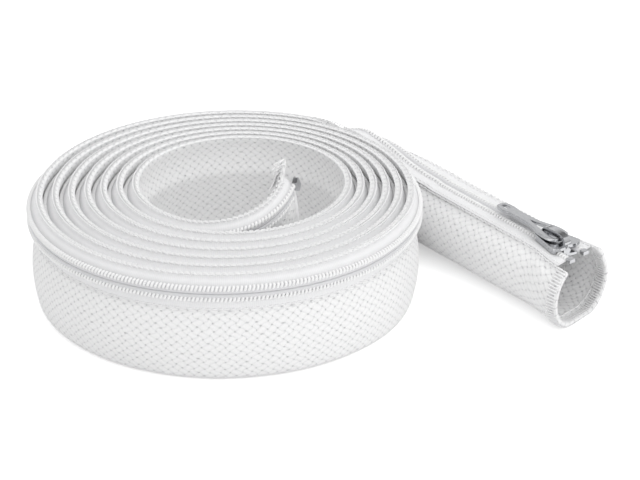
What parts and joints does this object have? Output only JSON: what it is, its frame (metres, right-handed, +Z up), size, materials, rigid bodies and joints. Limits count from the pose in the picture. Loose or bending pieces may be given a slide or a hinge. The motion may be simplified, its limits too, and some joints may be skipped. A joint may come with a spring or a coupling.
{
  "type": "braided_cable_sleeve_zip_roll",
  "caption": "Braided cable sleeve with a coil zip along its length, pressed flat and wound into a roll on its edge, with the round open mouth, slider and ring pull leading out.",
  "frame": {"origin": "centre of the bounding box in X and Y, on the surface that the roll and its tail stand on", "axes": "+X along the tail, out of its mouth; +Z up, along the roll's axis; +Y to the side of the roll that the tail leaves from"},
  "size_m": [0.1898, 0.1892, 0.0541],
  "materials": {
    "braid": "flat-braided white polyester, matte with a faint sheen",
    "tape": "woven white polyester zip tape with lockstitch seams, matte",
    "nylon": "white nylon monofilament coil, slight gloss",
    "nickel": "die-cast zinc with bright nickel plating, polished",
    "stop": "pressed zinc, nickel-plated"
  },
  "bodies": {
    "sleeve": {"braided_sleeve": "braid", "zip_tape_lower": "tape", "zip_tape_upper": "tape", "zip_coil_lower": "nylon", "zip_coil_upper": "nylon", "top_stop_lower": "stop", "top_stop_upper": "stop", "bottom_stop": "stop"},
    "slider": {"slider_body": "nickel"},
    "pull": {"pull_tab": "nickel"}
  },
  "joints": [
    {"name": "slider_travel", "type": "slide", "parent": "sleeve", "child": "slider", "axis": [-0.9994, -0.0094, 0.0328], "range_m": [0, 0.04], "deforming": ["zip_coil_lower", "zip_coil_upper"]},
    {"name": "pull_swing", "type": "hinge", "parent": "slider", "child": "pull", "pos_m": [0.07851, 0.07697, 0.03075], "axis": [-0.0095, 1, -0.0029], "range_deg": [0, 150]}
  ]
}
